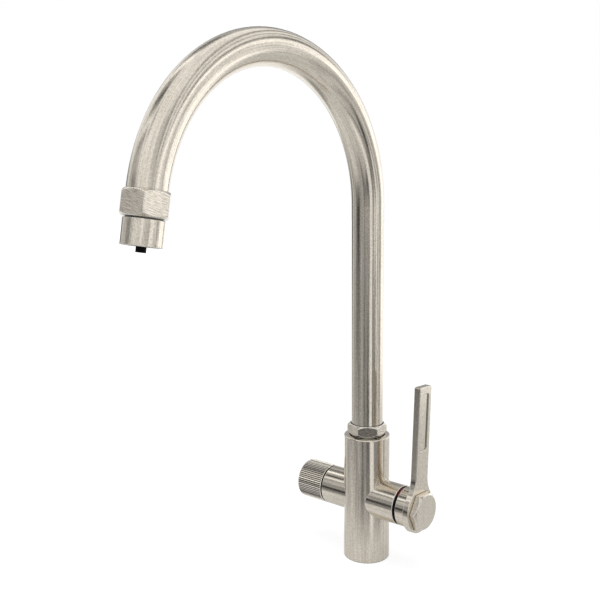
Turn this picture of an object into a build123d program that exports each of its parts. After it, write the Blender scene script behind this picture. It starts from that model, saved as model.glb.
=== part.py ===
from build123d import *

import math
import os

# Kitchen mixer tap with a swan-neck spout, a lever valve and a filtered-water valve.
# Frame: origin at the centre of the body's underside, +Z up. The spout reaches
# towards -Y, the lever's branch points along +X and the knob's branch along -X.
# Sizes are in millimetres. Screw threads are drawn as plain cylinders.

# Fits and gaps
running_gap = 0.05  # radial, shaft turning in its bore
face_gap = 0.05  # axial, faces that slide on each other
thread_gap = 0.05  # radial, screwed joint drawn plain
press_gap = 0.02  # radial, soldered, clipped or pressed joint
seal_gap = 0.02  # between a rubber ring and its bore or groove
hub_gap = 0.2  # axial, turning hub or knob to the ring behind it
groove_play = 0.3  # a seal groove's width over its ring's thickness
overrun = 1.0  # how far a cutter runs past the face that it opens

# Body
body_diameter = 40.9
body_height = 114.2
body_rim_round = 0.9
body_base_edge = 0.4
branch_height = 57.2
branch_diameter = 34.9
branch_edge = 0.35
mixer_reach = 39.1
filter_reach = 38.7

# Underside: central fixing stud, three water ports and the base seal
stud_hole_diameter = 6.8
stud_hole_depth = 16.0
port_diameter = 9.0
port_depth = 12.0
port_circle_diameter = 23.0
hot_port_angle = -45.0
cold_port_angle = 45.0
filter_port_angle = 200.0
supply_drilling_diameter = 6.5
filter_drilling_diameter = 5.5
base_seal_thickness = 1.8
base_seal_width = 2.2
base_seal_inset = 1.6
base_seal_recess = 0.05

# Waterways inside the body
riser_diameter = 17.0
riser_floor_rise = 3.4
cross_drilling_diameter = 5.0
drill_tip = 0.8
supply_spread = 7.0
supply_drop = 4.6
mixed_rise = 6.4
mixed_drilling_diameter = 6.0
filter_outlet_diameter = 4.0
filter_outlet_start = 20.0
filter_outlet_side = 9.0
filter_outlet_drop = 6.0
connector_socket_depth = 11.0

# Collar nut and the spout's swivel joint
collar_across_flats = 30.4
collar_height = 9.7
collar_lift = 0.9
collar_top_inset = 0.3
collar_mouth_diameter = 29.3
collar_mouth_depth = 1.5
collar_angle = -22.0
collar_thread_diameter = 32.0
collar_relief_diameter = 29.6
collar_relief_depth = 1.5
collar_skirt_depth = 8.9
hex_chamfer_inset = 0.6
hex_chamfer_angle = 38.0
hex_corner_round = 0.5
slip_ring_thickness = 1.0
slip_ring_play = 0.1
flange_diameter = 31.0
flange_thickness = 3.0
spigot_diameter = 22.0
spigot_length = 22.0
spigot_end_room = 3.0
spigot_bore = 16.0
spigot_insert_length = 12.0
spout_ring_thickness = 1.5
spout_ring_drops = (6.0, 14.0)

# Spout
spout_diameter = 28.0
spout_wall = 1.5
spout_bend_start = 316.9
spout_bend_radius = 121.5
spout_bend_angle = 169.1

# Filtered-water line inside the spout
filter_tube_diameter = 8.0
filter_tube_wall = 1.25
connector_thread_diameter = 9.0
connector_hex = 9.0
connector_hex_height = 3.0
connector_stem_diameter = 7.0
connector_stem_length = 20.0
connector_bore = 3.5
connector_end_room = 0.5
swivel_diameter = 11.2
swivel_lift = 8.0
swivel_grip = 10.0
swivel_end_room = 2.0
swivel_ring_thickness = 1.0
swivel_ring_drop = 4.0

# Outlet: nut, aerator and filtered-water nozzle, measured along the outlet's axis
outlet_nut_across_flats = 30.9
outlet_nut_length = 17.7
outlet_nut_angle = 44.0
outlet_nut_corner_round = 0.5
tube_end_in_nut = 4.0
adapter_insert_length = 3.8
adapter_thread_diameter = 27.0
adapter_thread_length = 8.0
adapter_bore = 18.0
outlet_washer_thickness = 1.0
barrel_diameter = 28.1
barrel_length = 18.1
barrel_shadow_gap = 0.8
barrel_relief_diameter = 25.0
barrel_edge = 0.4
barrel_inlet_bore = 19.0
barrel_inlet_length = 5.0
insert_diameter = 24.0
insert_recess = 0.8
insert_hole_diameter = 3.0
insert_hole_circle = 16.6
insert_hole_count = 12
screen_thickness = 0.4
screen_hole_diameter = 2.0
screen_hole_count = 18
nozzle_stem_diameter = 9.0
nozzle_stem_bore = 3.6
nozzle_barb_length = 10.0
filter_tube_past_bend = 8.0
nozzle_diameter = 7.0
nozzle_bore = 3.0
nozzle_grip = 6.0
nozzle_reach = 3.8

# Mixer cartridge, measured outwards from the tap's axis
cartridge_pocket_depth = 18.0
cartridge_pocket_diameter = 26.0
cartridge_mouth_diameter = 29.0
cartridge_step_depth = 8.1
cartridge_seal_diameter = 24.0
cartridge_seal_thickness = 1.0
cartridge_base_thickness = 3.5
cartridge_side_gap = 0.1
mixer_disc_diameter = 20.0
mixer_disc_thickness = 3.0
moving_disc_thickness = 2.5
moving_disc_inset = 0.5
mixing_recess_depth = 1.5
mixing_recess_diameter = 11.0
mixing_recess_offset = 2.5
drive_lug_diameter = 2.5
drive_lug_height = 0.8
drive_lug_offset = 7.0
disc_hole_diameter = 4.6
mixer_flange_thickness = 3.0
mixer_end_play = 0.5
mixer_stem_diameter = 10.0
mixer_stem_end = 41.2
drive_square = 6.5
drive_length = 6.0
drive_gap = 0.05
stem_ring_thickness = 1.2
stem_ring_place = 35.0
housing_ring_thickness = 1.5
housing_ring_drop = 2.2
housing_flange_thickness = 2.0
housing_neck_diameter = 16.0
housing_neck_end = 40.6
cartridge_nut_neck_diameter = 25.0
cartridge_nut_neck_length = 1.9
spanner_slot_width = 3.0

# Indicator ring behind the lever's hub, angles from the top towards the front
indicator_diameter = 33.1
indicator_width = 2.6
hot_mark_angle = 23.0
cold_mark_angle = -42.0
mark_span = 38.0
mark_thickness = 0.5
mark_side_margin = 0.15

# Lever hub, lever and hexagon cap
hub_diameter = 34.9
hub_length = 9.6
hub_edge = 0.3
hub_cavity_depth = 2.0
hub_web = 1.0
hub_spigot_diameter = 20.0
hub_spigot_flat = 9.0
lever_ring_diameter = 40.2
lever_ring_thickness = 5.8
lever_tilt = -3.2
lever_length = 108.9
lever_root_width = 18.5
lever_tip_width = 17.9
lever_tip_thickness = 6.3
lever_neck_radius = 25.0
lever_tip_round = 1.5
lever_edge = 0.6
lever_back_edge = 0.5
recess_start = 53.0
recess_end_margin = 6.4
recess_width = 10.4
recess_depth = 1.2
recess_edge = 0.25
recess_corner = 2.0
cap_across_flats = 30.8
cap_height = 6.2
cap_bore_depth = 3.2
cap_inner_inset = -2.3  # outside the flats, so they stay whole on the lever
cap_corner_angle = 30.0
lever_screw_shank = 3.2
lever_screw_length = 10.0
lever_screw_head = 7.0
lever_screw_head_height = 4.0
lever_screw_socket = 3.0
lever_screw_socket_depth = 2.0

# Filter valve and knob, measured outwards from the tap's axis
filter_floor = 15.5
filter_pocket_diameter = 21.0
filter_seat_bore = 7.0
filter_seat_seal_diameter = 15.0
filter_seat_seal_thickness = 1.0
filter_disc_diameter = 14.0
filter_disc_thickness = 2.5
filter_disc_inset = 0.1
filter_hole_diameter = 4.4
filter_hole_offset = 3.6
filter_skirt_diameter = 16.0
filter_cavity_end = 25.0
filter_window_width = 7.0
filter_window_start = 18.2
filter_window_end = 23.6
filter_body_start = 26.0
filter_ring_thickness = 1.5
filter_ring_place = 29.0
filter_head_hex = 21.0
filter_head_height = 4.5
filter_neck_diameter = 13.0
filter_neck_length = 3.6
filter_stem_diameter = 8.0
filter_stem_end = 57.0
filter_stem_flat = 3.2
filter_stem_ring_thickness = 1.0
filter_stem_ring_place = 41.0
filter_end_play = 0.1
circlip_thickness = 0.8
circlip_diameter = 11.0
circlip_root_diameter = 6.6
circlip_opening = 60.0
knob_slip_thickness = 1.3
knob_slip_diameter = 33.3
knob_slip_bore = 25.0
knob_diameter = 34.9
knob_end = 67.8
knob_near_edge = 0.6
knob_far_round = 1.8
knob_cavity_diameter = 26.4
knob_cavity_end = 48.6
knob_insert_diameter = 14.0
knob_insert_length = 10.2
knob_insert_room = 0.2
grub_screw_diameter = 4.0
grub_screw_length = 10.0
grub_screw_place = 54.0
grub_socket = 2.0
grub_socket_depth = 2.5

# Places and lengths worked out from the sizes above
body_radius = body_diameter / 2
spout_radius = spout_diameter / 2
spout_inner_radius = spout_radius - spout_wall
swivel_stack = 2 * slip_ring_thickness + flange_thickness + 2 * face_gap
counterbore_floor = body_height - collar_skirt_depth - swivel_stack
flange_low = counterbore_floor + slip_ring_thickness + face_gap
flange_high = flange_low + flange_thickness
spigot_low = flange_low - spigot_length
spigot_floor = spigot_low - spigot_end_room
spigot_bore_radius = spigot_diameter / 2 + running_gap
collar_bore_radius = collar_thread_diameter / 2 + thread_gap
nut_bore_radius = spout_radius + slip_ring_play
riser_floor = branch_height + riser_floor_rise
connector_socket_floor = riser_floor - connector_socket_depth
connector_stem_low = riser_floor + connector_hex_height
connector_stem_high = connector_stem_low + connector_stem_length
swivel_low = connector_stem_low + swivel_lift
filter_tube_low = connector_stem_high + swivel_end_room
swivel_high = filter_tube_low + swivel_grip
swivel_bore_radius = connector_stem_diameter / 2 + running_gap
filter_tube_inner_radius = filter_tube_diameter / 2 - filter_tube_wall

adapter_end = tube_end_in_nut + adapter_thread_length
neck_start = adapter_end + outlet_washer_thickness
barrel_start = outlet_nut_length + barrel_shadow_gap
barrel_end = barrel_start + barrel_length
screen_start = barrel_start + barrel_inlet_length
insert_start = screen_start + screen_thickness
insert_end = barrel_end - insert_recess

cartridge_step = mixer_reach - cartridge_step_depth
cartridge_floor = cartridge_step - cartridge_pocket_depth
cartridge_base_start = cartridge_floor + cartridge_seal_thickness
mixer_disc_start = cartridge_base_start + cartridge_base_thickness
moving_disc_start = mixer_disc_start + mixer_disc_thickness + face_gap
mixer_flange_start = moving_disc_start + moving_disc_thickness
mixer_cavity_end = mixer_flange_start + mixer_flange_thickness + mixer_end_play
cartridge_nut_start = cartridge_step + housing_flange_thickness
indicator_end = mixer_reach + indicator_width
hub_start = indicator_end + hub_gap
hub_end = hub_start + hub_length
lever_end = hub_end + lever_ring_thickness
cap_end = lever_end + cap_height
drive_end = mixer_stem_end + drive_length
hub_socket_end = drive_end + drive_gap
screw_seat = hub_socket_end + hub_web
hub_spigot_end = lever_end + cap_bore_depth - press_gap

filter_disc_start = filter_floor + filter_seat_seal_thickness
filter_moving_start = filter_disc_start + filter_disc_thickness + face_gap
filter_flange_start = filter_moving_start + filter_disc_thickness
filter_head_end = filter_reach + filter_head_height
filter_neck_end = filter_head_end + filter_neck_length
circlip_start = filter_neck_end + face_gap
knob_start = filter_reach + knob_slip_thickness + hub_gap
insert_near = knob_cavity_end
insert_far = insert_near + knob_insert_length

# Frames with local Z along each branch and local X up, and along the outlet
bend_turn = math.radians(spout_bend_angle)
bend_end = (
    0,
    -spout_bend_radius * (1 - math.cos(bend_turn)),
    spout_bend_start + spout_bend_radius * math.sin(bend_turn),
)
outlet_direction = (0, -math.sin(bend_turn), math.cos(bend_turn))
MIXER = Plane(origin=(0, 0, branch_height), x_dir=(0, 0, 1), z_dir=(1, 0, 0))
FILTER = Plane(origin=(0, 0, branch_height), x_dir=(0, 0, 1), z_dir=(-1, 0, 0))
OUTLET = Plane(origin=bend_end, x_dir=(1, 0, 0), z_dir=outlet_direction)


def turned(*points):
    """Solid turned about local Z from (radius, height) points."""
    return revolve(Plane.XZ * Polygon(*points, align=None), Axis.Z)


def rod(radius, low, high, x=0, y=0):
    """Round bar along local Z."""
    bar = Cylinder(radius, high - low, align=(Align.CENTER, Align.CENTER, Align.MIN))
    return Pos(x, y, low) * bar


def sleeve(outer, inner, low, high):
    """Round tube along local Z, given by its two radii."""
    return turned((inner, low), (outer, low), (outer, high), (inner, high))


def seal_ring(bore_radius, thickness, place):
    """Rubber ring that lies just inside a bore."""
    return Pos(0, 0, place) * Torus(bore_radius - seal_gap - thickness / 2, thickness / 2)


def seal_groove(bore_radius, thickness, place):
    """Cutter for the groove of such a ring on a shaft."""
    half = (thickness + groove_play) / 2
    root = bore_radius - thickness - 2 * seal_gap
    return sleeve(bore_radius + overrun, root, place - half, place + half)


def hexagon(across_flats, low, high, low_inset, high_inset, angle, corner_round=hex_corner_round):
    """Hexagon prism with both ends turned to a chamfer; one corner lies at angle."""
    corner = across_flats / math.sqrt(3)
    slope = math.tan(math.radians(hex_chamfer_angle))
    low_face = across_flats / 2 - low_inset
    high_face = across_flats / 2 - high_inset
    outline = RegularPolygon(corner, 6, rotation=angle)
    outline = fillet(outline.vertices(), corner_round)
    prism = Pos(0, 0, low) * extrude(outline, high - low)
    limit = turned(
        (0, low),
        (low_face, low),
        (corner, low + (corner - low_face) * slope),
        (corner, high - (corner - high_face) * slope),
        (high_face, high),
        (0, high),
    )
    return prism & limit


def wedge(reach, span, low, high):
    """Triangular plate along local X that cuts a sector out of a round piece."""
    half = math.radians(span / 2)
    x = reach * math.cos(half)
    y = reach * math.sin(half)
    return Pos(0, 0, low) * extrude(Polygon((0, 0), (x, -y), (x, y), align=None), high - low)


def polar(radius, angle):
    """Point at a radius and an angle in degrees."""
    turn = math.radians(angle)
    return radius * math.cos(turn), radius * math.sin(turn)


def spout_path(start, past_bend):
    """Centre line of the spout from a height to a distance past its bend."""
    low = (0, 0, start)
    top = (0, 0, spout_bend_start)
    finish = tuple(p + past_bend * d for p, d in zip(bend_end, outlet_direction))
    half = bend_turn / 2
    crown = (
        0,
        -spout_bend_radius * (1 - math.cos(half)),
        spout_bend_start + spout_bend_radius * math.sin(half),
    )
    return Line(low, top) + ThreePointArc(top, crown, bend_end) + Line(bend_end, finish)


def bent_tube(outer, inner, start, past_bend):
    """Tube that follows the spout's centre line."""
    section = Pos(0, 0, start) * (Circle(outer) - Circle(inner))
    return sweep(section, path=spout_path(start, past_bend))


# Body and its seal
def port_points():
    """The three port centres: hot, cold and filtered water."""
    angles = (hot_port_angle, cold_port_angle, filter_port_angle)
    return [polar(port_circle_diameter / 2, a) for a in angles]


def drilling(start, end, diameter):
    """Straight drilling between two points."""
    line = Line(start, end)
    plane = Plane(origin=start, z_dir=line % 0)
    return plane * rod(diameter / 2, 0, line.length)


def mixer_port_points():
    """Hot, cold and mixed ports of the cartridge, in the mixer frame."""
    return [(-supply_drop, supply_spread), (-supply_drop, -supply_spread), (mixed_rise, 0)]


def body_waterways():
    hot, cold, filtered = port_points()
    supply_top = branch_height - supply_drop + cross_drilling_diameter / 2 + drill_tip
    cuts = []
    for x, y in (hot, cold):
        cuts.append(rod(supply_drilling_diameter / 2, 0, supply_top, x, y))
    cuts.append(rod(filter_drilling_diameter / 2, 0, branch_height, *filtered))
    for x, y in (hot, cold, filtered):
        cuts.append(rod(port_diameter / 2, 0, port_depth, x, y))
    hot_in, cold_in, mixed_out = mixer_port_points()
    for x, y in (hot_in, cold_in):
        cross = rod(cross_drilling_diameter / 2, hot[0], cartridge_floor + overrun, x, y)
        cuts.append(MIXER * cross)
    cuts.append(MIXER * rod(mixed_drilling_diameter / 2, 0, cartridge_floor + overrun, *mixed_out))
    cuts.append(rod(riser_diameter / 2, riser_floor, spigot_floor + overrun))
    socket_radius = connector_thread_diameter / 2 + thread_gap
    cuts.append(rod(socket_radius, connector_socket_floor, riser_floor + overrun))
    cuts.append(FILTER * rod(filter_seat_bore / 2, -filtered[0], filter_floor + overrun))
    outlet_start = (-filter_outlet_start, filter_outlet_side, branch_height - filter_outlet_drop)
    outlet_end = (0, 0, connector_socket_floor + filter_outlet_diameter / 2)
    cuts.append(drilling(outlet_start, outlet_end, filter_outlet_diameter))
    return cuts


def base_seal_radii():
    outer = body_radius - base_seal_inset
    return outer, outer - base_seal_width


def make_body():
    column = rod(body_radius, 0, body_height)
    column = fillet(column.edges().sort_by(Axis.Z)[-1], body_rim_round)
    column = chamfer(column.edges().sort_by(Axis.Z)[0], body_base_edge)
    branch_radius = branch_diameter / 2
    solid = column
    for frame, reach in ((MIXER, mixer_reach), (FILTER, filter_reach)):
        branch = rod(branch_radius, 0, reach)
        branch = chamfer(branch.edges().sort_by(Axis.Z)[-1], branch_edge)
        solid = solid + frame * branch
    cuts = body_waterways()
    cuts.append(rod(collar_bore_radius, counterbore_floor, body_height + overrun))
    cuts.append(rod(spigot_bore_radius, spigot_floor, counterbore_floor + overrun))
    cuts.append(rod(stud_hole_diameter / 2, 0, stud_hole_depth))
    outer, inner = base_seal_radii()
    cuts.append(sleeve(outer, inner, 0, base_seal_thickness))
    pocket = rod(cartridge_pocket_diameter / 2, cartridge_floor, cartridge_step + overrun)
    mouth = rod(cartridge_mouth_diameter / 2, cartridge_step, mixer_reach + overrun)
    cuts.append(MIXER * (pocket + mouth))
    cuts.append(FILTER * rod(filter_pocket_diameter / 2, filter_floor, filter_reach + overrun))
    for cut in cuts:
        solid = solid - cut
    return solid


def make_base_seal():
    outer, inner = base_seal_radii()
    return sleeve(outer - seal_gap, inner + seal_gap, base_seal_recess, base_seal_thickness)


# Collar nut, slip rings and the spout's spigot
def make_collar_nut():
    hex_low = body_height + collar_lift
    hex_high = hex_low + collar_height
    skirt_low = flange_high + face_gap + slip_ring_thickness
    head = hexagon(
        collar_across_flats, hex_low, hex_high, hex_chamfer_inset, collar_top_inset, collar_angle
    )
    skirt_high = body_height - collar_relief_depth
    skirt = rod(collar_thread_diameter / 2, skirt_low, skirt_high)
    relief = rod(collar_relief_diameter / 2, skirt_high, hex_low)
    bore = rod(nut_bore_radius, skirt_low - overrun, hex_high + overrun)
    mouth = rod(collar_mouth_diameter / 2, hex_high - collar_mouth_depth, hex_high + overrun)
    return head + relief + skirt - bore - mouth


def make_upper_slip_ring():
    outer = collar_bore_radius - slip_ring_play
    low = flange_high + face_gap
    return sleeve(outer, nut_bore_radius, low, low + slip_ring_thickness)


def make_lower_slip_ring():
    outer = collar_bore_radius - slip_ring_play
    inner = spigot_bore_radius + slip_ring_play
    return sleeve(outer, inner, counterbore_floor, counterbore_floor + slip_ring_thickness)


def make_spout_tube():
    return bent_tube(spout_radius, spout_inner_radius, flange_high, tube_end_in_nut)


def spout_ring_places():
    return [flange_low - drop for drop in spout_ring_drops]


def make_spout_spigot():
    bore = spigot_bore / 2
    shaft = spigot_diameter / 2
    flange = flange_diameter / 2
    insert = spout_inner_radius - press_gap
    top = flange_high + spigot_insert_length
    solid = turned(
        (bore, spigot_low),
        (shaft, spigot_low),
        (shaft, flange_low),
        (flange, flange_low),
        (flange, flange_high),
        (insert, flange_high),
        (insert, top),
        (bore, top),
    )
    for place in spout_ring_places():
        solid = solid - seal_groove(spigot_bore_radius, spout_ring_thickness, place)
    return solid


def make_spout_o_rings():
    rings = [
        seal_ring(spigot_bore_radius, spout_ring_thickness, place) for place in spout_ring_places()
    ]
    return Compound(rings)


# Filtered-water line: stub in the body, swivel sleeve and the tube through the spout
def connector_ring_place():
    return connector_stem_high - swivel_ring_drop


def make_tube_connector():
    thread = rod(
        connector_thread_diameter / 2, connector_socket_floor + connector_end_room, riser_floor
    )
    head = hexagon(connector_hex, riser_floor, connector_stem_low, 0, hex_chamfer_inset / 2, 0)
    stem = rod(connector_stem_diameter / 2, connector_stem_low, connector_stem_high)
    bore = rod(connector_bore / 2, connector_socket_floor, connector_stem_high + overrun)
    groove = seal_groove(swivel_bore_radius, swivel_ring_thickness, connector_ring_place())
    return thread + head + stem - bore - groove


def make_swivel_o_ring():
    return seal_ring(swivel_bore_radius, swivel_ring_thickness, connector_ring_place())


def make_tube_swivel():
    grip = filter_tube_diameter / 2 + press_gap
    outer = swivel_diameter / 2
    return turned(
        (swivel_bore_radius, swivel_low),
        (outer, swivel_low),
        (outer, swivel_high),
        (grip, swivel_high),
        (grip, filter_tube_low),
        (swivel_bore_radius, filter_tube_low),
    )


def make_filter_tube():
    outer = filter_tube_diameter / 2
    return bent_tube(outer, filter_tube_inner_radius, filter_tube_low, filter_tube_past_bend)


# Outlet
def make_outlet_adapter():
    bore = adapter_bore / 2
    insert = spout_inner_radius - press_gap
    thread = adapter_thread_diameter / 2
    return turned(
        (bore, tube_end_in_nut - adapter_insert_length),
        (insert, tube_end_in_nut - adapter_insert_length),
        (insert, tube_end_in_nut),
        (thread, tube_end_in_nut),
        (thread, adapter_end),
        (bore, adapter_end),
    )


def make_outlet_nut():
    body = hexagon(
        outlet_nut_across_flats,
        0,
        outlet_nut_length,
        hex_chamfer_inset,
        hex_chamfer_inset,
        outlet_nut_angle,
        outlet_nut_corner_round,
    )
    thread = adapter_thread_diameter / 2 + thread_gap
    mouth = rod(spout_radius + press_gap, -overrun, tube_end_in_nut)
    return body - mouth - rod(thread, 0, outlet_nut_length + overrun)


def make_outlet_washer():
    return sleeve(
        adapter_thread_diameter / 2 - seal_gap, adapter_bore / 2, adapter_end, neck_start
    )


def make_aerator_housing():
    neck = adapter_thread_diameter / 2
    barrel = barrel_diameter / 2
    pocket = insert_diameter / 2 + press_gap
    inlet = barrel_inlet_bore / 2
    return turned(
        (inlet, neck_start),
        (neck, neck_start),
        (neck, outlet_nut_length),
        (barrel_relief_diameter / 2, outlet_nut_length),
        (barrel_relief_diameter / 2, barrel_start),
        (barrel - barrel_edge, barrel_start),
        (barrel, barrel_start + barrel_edge),
        (barrel, barrel_end - barrel_edge),
        (barrel - barrel_edge, barrel_end),
        (pocket, barrel_end),
        (pocket, screen_start),
        (inlet, screen_start),
    )


def hole_ring(diameter, circle, count, low, high):
    """Evenly spaced holes along local Z on a circle."""
    return [rod(diameter / 2, low, high, *polar(circle / 2, i * 360 / count)) for i in range(count)]


def stem_hole():
    return rod(nozzle_stem_diameter / 2 + press_gap, screen_start, barrel_end)


def make_aerator_screen():
    disc = rod(insert_diameter / 2 - press_gap, screen_start, insert_start)
    holes = hole_ring(
        screen_hole_diameter, insert_hole_circle, screen_hole_count, screen_start, insert_start
    )
    return disc - [stem_hole(), *holes]


def make_aerator_insert():
    block = rod(insert_diameter / 2, insert_start, insert_end)
    holes = hole_ring(
        insert_hole_diameter, insert_hole_circle, insert_hole_count, insert_start, insert_end
    )
    return block - [stem_hole(), *holes]


def make_nozzle_stem():
    barb = filter_tube_inner_radius - press_gap
    outer = nozzle_stem_diameter / 2
    bore = nozzle_stem_bore / 2
    grip = nozzle_diameter / 2 + press_gap
    shoulder = filter_tube_past_bend
    return turned(
        (bore, shoulder - nozzle_barb_length),
        (barb, shoulder - nozzle_barb_length),
        (barb, shoulder),
        (outer, shoulder),
        (outer, insert_end),
        (grip, insert_end),
        (grip, insert_end - nozzle_grip),
        (bore, insert_end - nozzle_grip),
    )


def make_filter_nozzle():
    low = insert_end - nozzle_grip
    return sleeve(nozzle_diameter / 2, nozzle_bore / 2, low, barrel_end + nozzle_reach)


# Mixer cartridge
def mixer_ports(low, high, diameter):
    """Cutters for the three ports through a disc of the cartridge."""
    return [rod(diameter / 2, low, high, x, y) for x, y in mixer_port_points()]


def make_cartridge_seal():
    disc = rod(cartridge_seal_diameter / 2, cartridge_floor, cartridge_base_start)
    return disc - mixer_ports(cartridge_floor, cartridge_base_start, cross_drilling_diameter)


def cartridge_radius():
    return cartridge_pocket_diameter / 2 - cartridge_side_gap


def make_cartridge_base():
    disc = rod(cartridge_radius(), cartridge_base_start, mixer_disc_start)
    return disc - mixer_ports(cartridge_base_start, mixer_disc_start, disc_hole_diameter)


def mixer_disc_holes(low, high):
    """Ports through the ceramic disc, pulled in to lie on it."""
    reach = mixer_disc_diameter / 2 - disc_hole_diameter / 2 - moving_disc_inset
    holes = []
    for x, y in mixer_port_points():
        scale = min(1.0, reach / math.hypot(x, y))
        holes.append(rod(disc_hole_diameter / 2, low, high, x * scale, y * scale))
    return holes


def make_mixer_fixed_disc():
    high = mixer_disc_start + mixer_disc_thickness
    disc = rod(mixer_disc_diameter / 2, mixer_disc_start, high)
    return disc - mixer_disc_holes(mixer_disc_start, high)


def moving_disc_radius():
    return mixer_disc_diameter / 2 - moving_disc_inset


def lug_points():
    return [(0, drive_lug_offset), (0, -drive_lug_offset)]


def make_mixer_moving_disc():
    disc = rod(moving_disc_radius(), moving_disc_start, mixer_flange_start)
    recess = rod(
        mixing_recess_diameter / 2,
        moving_disc_start,
        moving_disc_start + mixing_recess_depth,
        mixing_recess_offset,
    )
    holes = [
        rod(
            drive_lug_diameter / 2 + press_gap,
            mixer_flange_start - drive_lug_height - press_gap,
            mixer_flange_start,
            x,
            y,
        )
        for x, y in lug_points()
    ]
    return Rot(0, 0, lever_tilt) * (disc - [recess, *holes])


def make_mixer_spindle():
    flange_end = mixer_flange_start + mixer_flange_thickness
    solid = rod(moving_disc_radius(), mixer_flange_start, flange_end)
    for x, y in lug_points():
        low = mixer_flange_start - drive_lug_height
        solid = solid + rod(drive_lug_diameter / 2, low, mixer_flange_start, x, y)
    solid = solid + rod(mixer_stem_diameter / 2, flange_end, mixer_stem_end)
    solid = solid + Pos(0, 0, mixer_stem_end) * extrude(Rectangle(drive_square, drive_square), drive_length)
    stem_bore = mixer_stem_diameter / 2 + running_gap
    groove = seal_groove(stem_bore, stem_ring_thickness, stem_ring_place)
    tapped = rod(lever_screw_shank / 2 + thread_gap, screw_tip() - drive_gap, drive_end)
    return Rot(0, 0, lever_tilt) * (solid - [groove, tapped])


def make_spindle_o_ring():
    stem_bore = mixer_stem_diameter / 2 + running_gap
    return seal_ring(stem_bore, stem_ring_thickness, stem_ring_place)


def housing_ring_place():
    return cartridge_step - housing_ring_drop


def make_cartridge_housing():
    outer = cartridge_radius()
    cavity = mixer_disc_diameter / 2 + running_gap
    flange = cartridge_mouth_diameter / 2 - thread_gap
    neck = housing_neck_diameter / 2
    stem = mixer_stem_diameter / 2 + running_gap
    solid = turned(
        (cavity, mixer_disc_start),
        (outer, mixer_disc_start),
        (outer, cartridge_step),
        (flange, cartridge_step),
        (flange, cartridge_nut_start),
        (neck, cartridge_nut_start),
        (neck, housing_neck_end),
        (stem, housing_neck_end),
        (stem, mixer_cavity_end),
        (cavity, mixer_cavity_end),
    )
    groove = seal_groove(
        cartridge_pocket_diameter / 2, housing_ring_thickness, housing_ring_place()
    )
    return solid - groove


def make_cartridge_o_ring():
    return seal_ring(
        cartridge_pocket_diameter / 2, housing_ring_thickness, housing_ring_place()
    )


def make_cartridge_nut():
    thread = cartridge_mouth_diameter / 2 - thread_gap
    bore = housing_neck_diameter / 2 + press_gap
    neck = cartridge_nut_neck_diameter / 2
    neck_end = mixer_reach + cartridge_nut_neck_length
    solid = turned(
        (bore, cartridge_nut_start),
        (thread, cartridge_nut_start),
        (thread, mixer_reach),
        (neck, mixer_reach),
        (neck, neck_end),
        (bore, neck_end),
    )
    slot = Pos(0, 0, mixer_reach + cartridge_nut_neck_length) * Box(
        2 * thread, spanner_slot_width, 2 * cartridge_nut_neck_length
    )
    slots = slot + Rot(0, 0, 90) * slot
    return solid - slots


# Indicator ring and its marks
def mark_body(outer, inner, low, high, middle, span):
    """Curved strip on a ring, centred at an angle from the top."""
    return sleeve(outer, inner, low, high) & (Rot(0, 0, middle) * wedge(2 * outer, span, low, high))


def make_mark(middle):
    outer = indicator_diameter / 2
    low = mixer_reach + mark_side_margin
    high = indicator_end - mark_side_margin
    return mark_body(outer, outer - mark_thickness, low, high, middle, mark_span)


def mark_pocket(middle):
    outer = indicator_diameter / 2
    side = press_gap
    low = mixer_reach + mark_side_margin - side
    high = indicator_end - mark_side_margin + side
    extra_span = 2 * math.degrees(side / (outer - mark_thickness))
    inner = outer - mark_thickness - side
    return mark_body(outer + overrun, inner, low, high, middle, mark_span + extra_span)


def make_indicator_ring():
    inner = cartridge_nut_neck_diameter / 2 + press_gap
    ring = sleeve(indicator_diameter / 2, inner, mixer_reach, indicator_end)
    return ring - [mark_pocket(hot_mark_angle), mark_pocket(cold_mark_angle)]


# Lever hub, lever, hexagon cap and the screw under it
def flat_side(flat, low, high, reach):
    """Cutter that takes the side below a flat off a shaft."""
    return Pos(-flat - reach / 2, 0, (low + high) / 2) * Box(reach, 2 * reach, high - low)


def screw_tip():
    return screw_seat - lever_screw_length


def make_lever_hub():
    outer = hub_diameter / 2
    spigot = hub_spigot_diameter / 2
    solid = turned(
        (0, hub_start),
        (outer - hub_edge, hub_start),
        (outer, hub_start + hub_edge),
        (outer, hub_end),
        (spigot, hub_end),
        (spigot, hub_spigot_end),
        (0, hub_spigot_end),
    )
    cavity = rod(
        cartridge_nut_neck_diameter / 2 + hub_gap, hub_start - overrun, hub_start + hub_cavity_depth
    )
    side = drive_square + 2 * drive_gap
    socket = Pos(0, 0, hub_start) * extrude(Rectangle(side, side), hub_socket_end - hub_start)
    shank = rod(lever_screw_shank / 2 + 2 * thread_gap, hub_start, screw_seat + overrun)
    head = rod(lever_screw_head / 2 + drive_gap, screw_seat, hub_spigot_end + overrun)
    flat = flat_side(hub_spigot_flat, hub_end, lever_end, spigot)
    return Rot(0, 0, lever_tilt) * (solid - [cavity, socket, shank, head, flat])


def neck_points(root):
    """Ends and middle of the hollow neck between the ring and the bar's side."""
    ring_radius = lever_ring_diameter / 2
    taper = math.atan2((lever_root_width - lever_tip_width) / 2, lever_length)
    along = Vector(math.cos(taper), -math.sin(taper))
    outward = Vector(math.sin(taper), math.cos(taper))
    offset = Vector(0, root) + outward * lever_neck_radius
    reach = ring_radius + lever_neck_radius
    lead = offset.dot(along)
    step = math.sqrt(lead**2 - offset.dot(offset) + reach**2) - lead
    centre = offset + along * step
    on_bar = centre - outward * lever_neck_radius
    on_ring = centre * (ring_radius / reach)
    inward = ((on_bar + on_ring) / 2 - centre).normalized()
    return on_ring, centre + inward * lever_neck_radius, on_bar


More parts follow.
